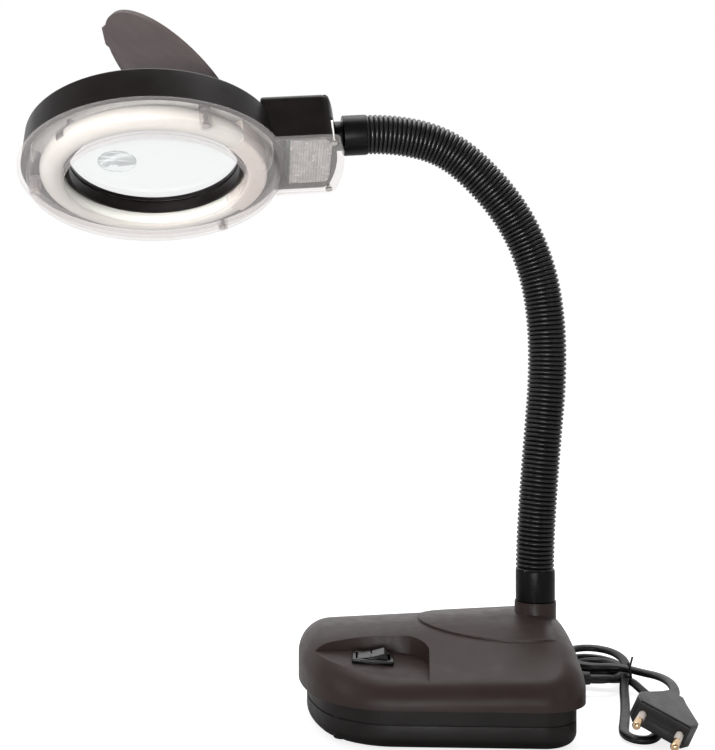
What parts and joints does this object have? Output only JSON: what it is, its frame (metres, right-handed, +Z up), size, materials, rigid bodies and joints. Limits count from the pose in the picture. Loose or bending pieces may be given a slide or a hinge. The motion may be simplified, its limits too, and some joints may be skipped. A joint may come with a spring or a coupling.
{
  "type": "magnifying lamp",
  "caption": "Desk magnifying lamp: weighted base with a rocker switch, gooseneck, and a ring light head with a round lens, a hinged lid and a mains lead tied in a hank.",
  "frame": {"origin": "on the surface the lamp stands on, under the foot of the neck", "axes": "+Z up; -X towards the switch end of the base, over which the head hangs; -Y towards the side with the switch"},
  "size_m": [0.3475, 0.1784, 0.3713],
  "materials": {
    "base_plastic": "satin moulded",
    "head_plastic": "polished moulded",
    "lid_plastic": "polished moulded",
    "iron": "as cast",
    "foam": "foam",
    "steel": "plain",
    "screw_steel": "bright",
    "switch_plastic": "polished",
    "brass": "plain",
    "block_plastic": "natural",
    "collar": "satin black",
    "neck_sleeve": "ribbed",
    "neck_core": "wound wire",
    "lens_glass": "polished",
    "tube_glass": "milky",
    "tube_cap": "moulded",
    "clips": "spring steel",
    "white": "white",
    "clear": "moulded clear",
    "board": "laminate",
    "electronic": "moulded",
    "flex": "matt",
    "tie": "coated wire",
    "plug": "moulded"
  },
  "bodies": {
    "base": {"base_cover": "base_plastic", "base_tray": "base_plastic", "ballast_weight": "iron", "base_pad": "foam", "base_screws": "steel", "switch_housing": "switch_plastic", "switch_terminals": "brass", "terminal_block": "block_plastic", "neck_root_tube": "steel", "neck_root_nut": "steel", "lower_collar": "collar", "neck_sleeve_0": "neck_sleeve", "neck_core_0": "neck_core", "strain_relief": "flex", "cord_lead": "flex", "cord_hank": "flex", "cord_loop": "flex", "cord_tail": "flex", "twist_tie": "tie", "plug_body": "plug", "plug_pins": "brass"},
    "rocker": {"switch_rocker": "switch_plastic"},
    "neck_1": {"neck_sleeve_1": "neck_sleeve", "neck_core_1": "neck_core"},
    "neck_2": {"neck_sleeve_2": "neck_sleeve", "neck_core_2": "neck_core"},
    "neck_3": {"neck_sleeve_3": "neck_sleeve", "neck_core_3": "neck_core"},
    "neck_4": {"neck_sleeve_4": "neck_sleeve", "neck_core_4": "neck_core"},
    "neck_5": {"neck_sleeve_5": "neck_sleeve", "neck_core_5": "neck_core"},
    "neck_6": {"neck_sleeve_6": "neck_sleeve", "neck_core_6": "neck_core"},
    "neck_7": {"neck_sleeve_7": "neck_sleeve", "neck_core_7": "neck_core"},
    "neck_8": {"neck_sleeve_8": "neck_sleeve", "neck_core_8": "neck_core"},
    "neck_9": {"neck_sleeve_9": "neck_sleeve", "neck_core_9": "neck_core", "upper_collar": "collar"},
    "head": {"head_housing": "head_plastic", "neck_stub": "steel", "head_nut": "steel", "magnifier_lens": "lens_glass", "spot_lens": "lens_glass", "lens_ring": "head_plastic", "light_tube": "tube_glass", "tube_cap": "tube_cap", "tube_clips": "clips", "reflector": "white", "clear_cover": "clear", "cover_screws": "screw_steel", "prism_panel": "clear", "driver_board": "board", "driver_parts": "electronic", "lid_pin": "steel"},
    "lid": {"lid": "lid_plastic"}
  },
  "joints": [
    {"name": "rocker_tilt", "type": "hinge", "parent": "base", "child": "rocker", "pos_m": [-0.08907, -0.04091, 0.03686], "axis": [0.0031, 0.996, 0.0894], "range_deg": [0, 28]},
    {"name": "neck_bend_1", "type": "hinge", "parent": "base", "child": "neck_1", "pos_m": [0.00092, 0.0001, 0.10615], "axis": [-0.1045, 0.9945, 0], "range_deg": [-11, 11]},
    {"name": "neck_sway_2", "type": "hinge", "parent": "neck_1", "child": "neck_2", "pos_m": [0.00304, 0.00032, 0.13524], "axis": [0.9911, 0.1042, -0.0828], "range_deg": [-11, 11]},
    {"name": "neck_bend_3", "type": "hinge", "parent": "neck_2", "child": "neck_3", "pos_m": [0.00552, 0.00058, 0.1643], "axis": [-0.1045, 0.9945, 0], "range_deg": [-11, 11]},
    {"name": "neck_bend_4", "type": "hinge", "parent": "neck_3", "child": "neck_4", "pos_m": [0.00678, 0.00071, 0.19343], "axis": [-0.1045, 0.9945, 0], "range_deg": [-11, 11]},
    {"name": "neck_sway_5", "type": "hinge", "parent": "neck_4", "child": "neck_5", "pos_m": [0.00468, 0.00049, 0.2225], "axis": [0.9842, 0.1034, 0.1435], "range_deg": [-11, 11]},
    {"name": "neck_bend_6", "type": "hinge", "parent": "neck_5", "child": "neck_6", "pos_m": [-0.00293, -0.00031, 0.25057], "axis": [-0.1045, 0.9945, 0], "range_deg": [-11, 11]},
    {"name": "neck_bend_7", "type": "hinge", "parent": "neck_6", "child": "neck_7", "pos_m": [-0.01739, -0.00183, 0.27576], "axis": [-0.1045, 0.9945, 0], "range_deg": [-11, 11]},
    {"name": "neck_sway_8", "type": "hinge", "parent": "neck_7", "child": "neck_8", "pos_m": [-0.03748, -0.00394, 0.29672], "axis": [0.6373, 0.067, 0.7677], "range_deg": [-11, 11]},
    {"name": "neck_bend_9", "type": "hinge", "parent": "neck_8", "child": "neck_9", "pos_m": [-0.06331, -0.00665, 0.30936], "axis": [-0.1045, 0.9945, 0], "range_deg": [-11, 11]},
    {"name": "head_twist", "type": "hinge", "parent": "neck_9", "child": "head", "pos_m": [-0.10476, -0.01101, 0.31043], "axis": [0.9919, 0.1042, 0.0732], "range_deg": [-40, 40]},
    {"name": "lid_hinge", "type": "hinge", "parent": "head", "child": "lid", "pos_m": [-0.15777, -0.01456, 0.31252], "axis": [-0.0758, 0.945, -0.3181], "range_deg": [-42.2, 50]}
  ],
  "couplings": [
    {"joint": "neck_bend_3", "follows": "neck_bend_1", "ratio": 1},
    {"joint": "neck_bend_4", "follows": "neck_bend_1", "ratio": 1},
    {"joint": "neck_bend_7", "follows": "neck_bend_6", "ratio": 1},
    {"joint": "neck_bend_9", "follows": "neck_bend_6", "ratio": 1},
    {"joint": "neck_sway_5", "follows": "neck_sway_2", "ratio": 1},
    {"joint": "neck_sway_8", "follows": "neck_sway_2", "ratio": 1}
  ]
}
